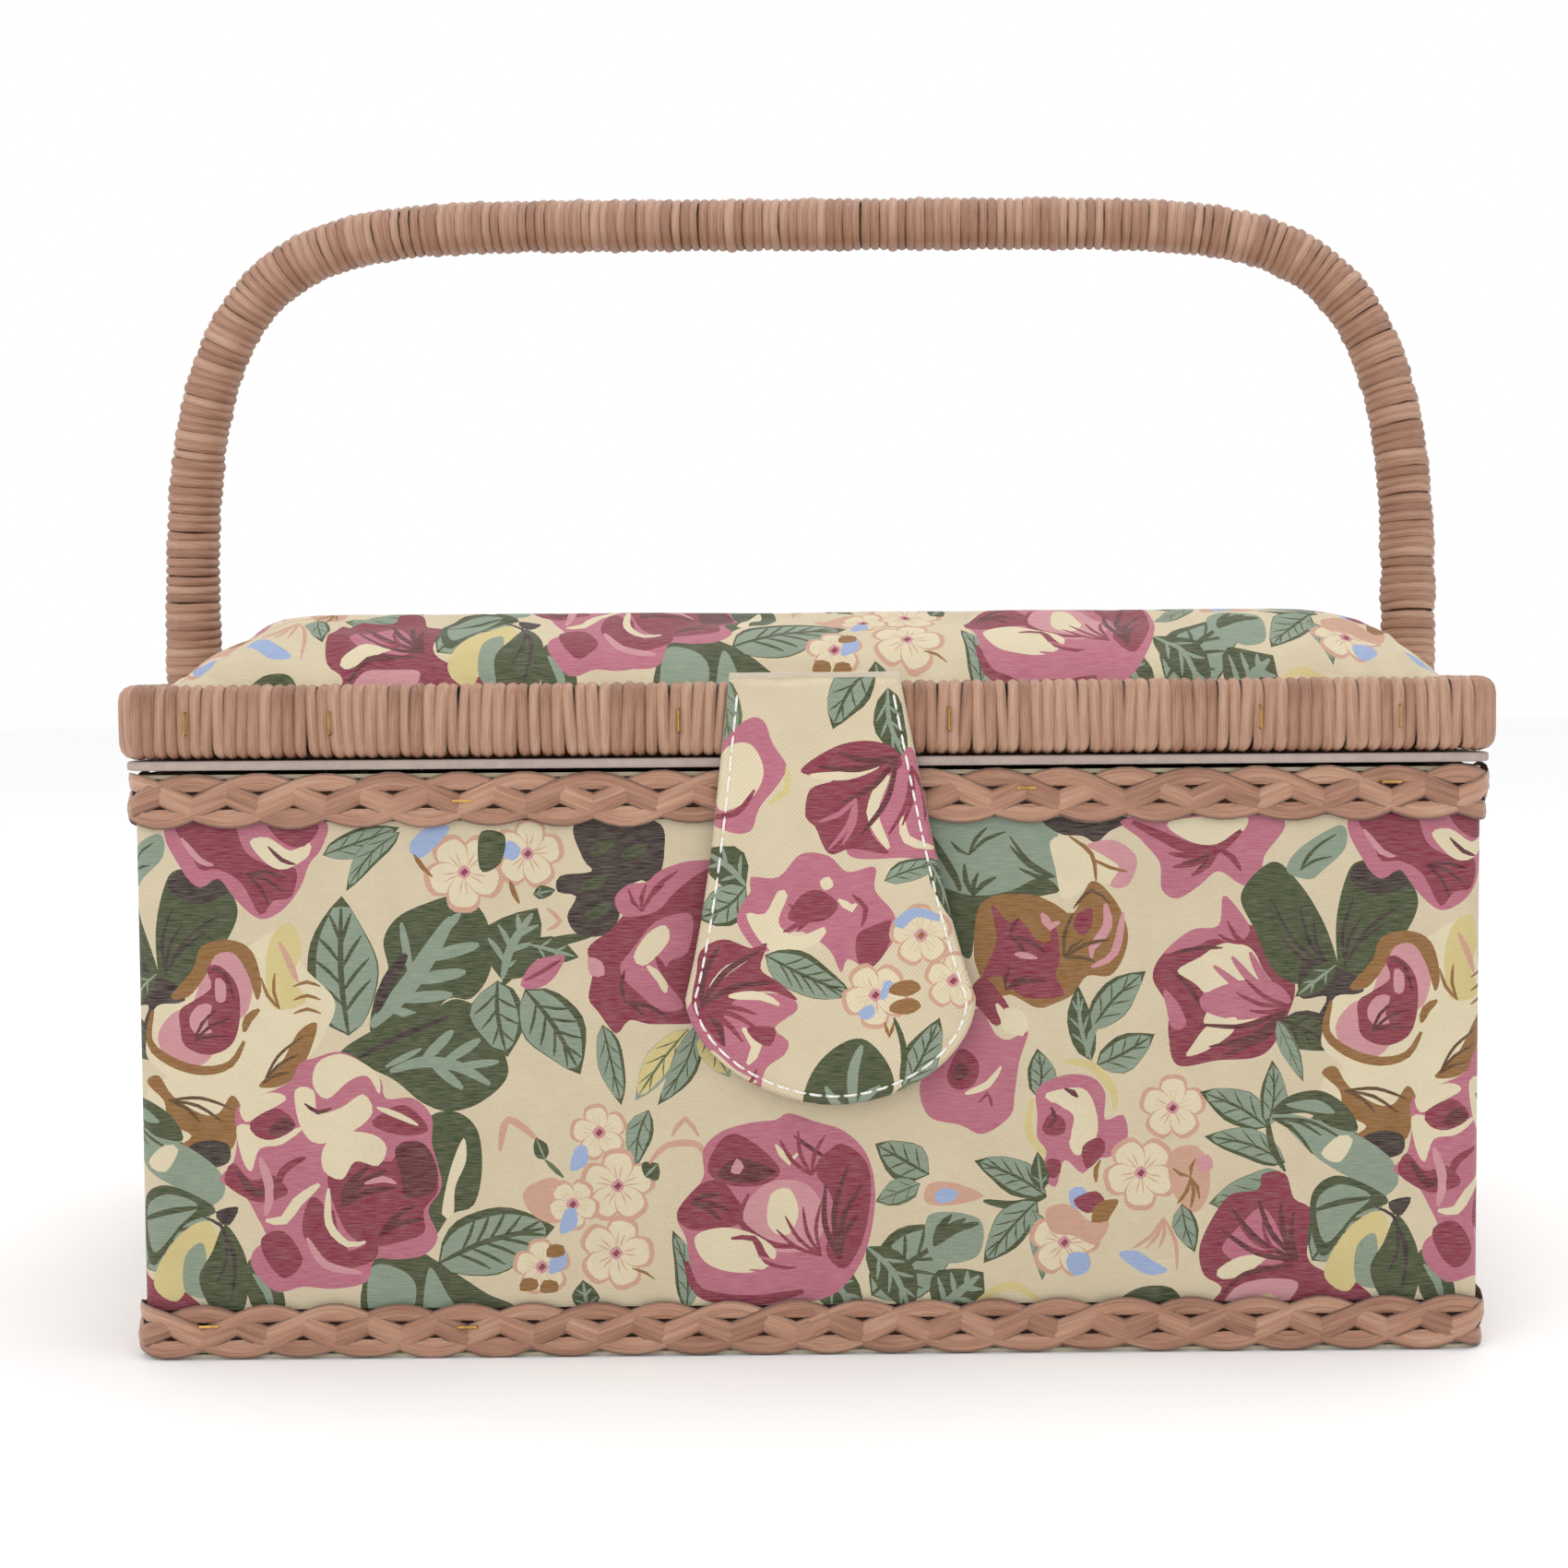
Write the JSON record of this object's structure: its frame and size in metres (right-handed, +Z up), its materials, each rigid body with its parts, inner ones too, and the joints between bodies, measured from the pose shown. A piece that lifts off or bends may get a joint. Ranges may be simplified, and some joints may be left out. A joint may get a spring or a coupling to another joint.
{
  "type": "sewing box",
  "caption": "Rectangular fabric-covered sewing box with a padded hinged lid, raffia trim, a closing tab, a swing handle and lift-out trays.",
  "frame": {"origin": "middle of the underside, on the surface that the box stands on", "axes": "+X to the right seen from the front, +Y to the back where the lid is hinged, +Z up"},
  "size_m": [0.341, 0.2211, 0.2758],
  "materials": {
    "printed_cotton": "matt printed cotton, roses and leaves on cream",
    "plain_cotton": "matt plain cotton",
    "raffia": "satin plaited and wound raffia",
    "fibreboard": "raw hardboard",
    "base_card": "matt cloth-faced card",
    "foam": "open foam",
    "cane": "bent cane",
    "brass": "polished",
    "snap_steel": "plated, magnetic",
    "tray_plastic": "moulded, white"
  },
  "bodies": {
    "root": {"base_cover": "base_card", "base_board": "fibreboard", "front_board": "fibreboard", "back_board": "fibreboard", "left_board": "fibreboard", "right_board": "fibreboard", "outer_cover": "printed_cotton", "wall_lining": "plain_cotton", "floor_lining": "plain_cotton", "ledge_front": "plain_cotton", "ledge_back": "plain_cotton", "upper_braid": "raffia", "lower_braid": "raffia", "wall_snap": "snap_steel", "hinge_box_leaf_left": "brass", "hinge_box_leaf_right": "brass", "hinge_box_screw_left_1": "brass", "hinge_box_screw_left_2": "brass", "hinge_box_screw_right_1": "brass", "hinge_box_screw_right_2": "brass", "hinge_pin_left": "brass", "hinge_pin_right": "brass"},
    "lid": {"lid_lining_board": "plain_cotton", "rim_strip": "fibreboard", "rim_wrap": "raffia", "lid_board": "fibreboard", "lid_foam": "foam", "lid_cover": "printed_cotton", "pin_cushion": "printed_cotton", "lid_pocket": "plain_cotton", "pocket_elastic": "plain_cotton", "hinge_lid_leaf_left": "brass", "hinge_lid_leaf_right": "brass", "hinge_lid_screw_left_1": "brass", "hinge_lid_screw_left_2": "brass", "hinge_lid_screw_right_1": "brass", "hinge_lid_screw_right_2": "brass", "tab_root": "printed_cotton"},
    "tab": {"tab_backing": "plain_cotton", "tab_wadding": "foam", "tab_face": "printed_cotton", "tab_snap": "snap_steel"},
    "handle_pivots": {"pivot_bolt_left": "brass", "pivot_bolt_right": "brass", "pivot_spacer_left": "brass", "pivot_spacer_right": "brass", "pivot_nut_left": "brass", "pivot_nut_right": "brass"},
    "handle": {"handle_cane": "cane", "handle_wrap": "raffia"},
    "tray_left": {"tray_left": "tray_plastic"},
    "tray_right": {"tray_right": "tray_plastic"}
  },
  "joints": [
    {"name": "lid_hinge", "type": "hinge", "parent": "root", "child": "lid", "pos_m": [0, 0.109, 0.1316], "axis": [-1, 0, 0], "range_deg": [0, 100]},
    {"name": "tab_flap", "type": "hinge", "parent": "lid", "child": "tab", "pos_m": [0.0011, -0.1068, 0.1516], "axis": [-1, 0, 0], "range_deg": [0, 120]},
    {"name": "pivot_turn", "type": "hinge", "parent": "root", "child": "handle_pivots", "pos_m": [0, 0, 0.03], "axis": [-1, 0, 0], "range_deg": [0, 91]},
    {"name": "handle_swing", "type": "hinge", "parent": "handle_pivots", "child": "handle", "pos_m": [0, 0, 0.03], "axis": [-1, 0, 0], "range_deg": [-94, 0]},
    {"name": "tray_left_lift", "type": "slide", "parent": "root", "child": "tray_left", "axis": [0, 0, 1], "range_m": [0, 0.055]},
    {"name": "tray_right_lift", "type": "slide", "parent": "root", "child": "tray_right", "axis": [0, 0, 1], "range_m": [0, 0.055]}
  ],
  "couplings": [
    {"joint": "pivot_turn", "follows": "lid_hinge", "ratio": 0.9},
    {"joint": "tray_left_lift", "follows": "lid_hinge", "m_per_rad": 0.0315},
    {"joint": "tray_right_lift", "follows": "lid_hinge", "m_per_rad": 0.0315}
  ]
}
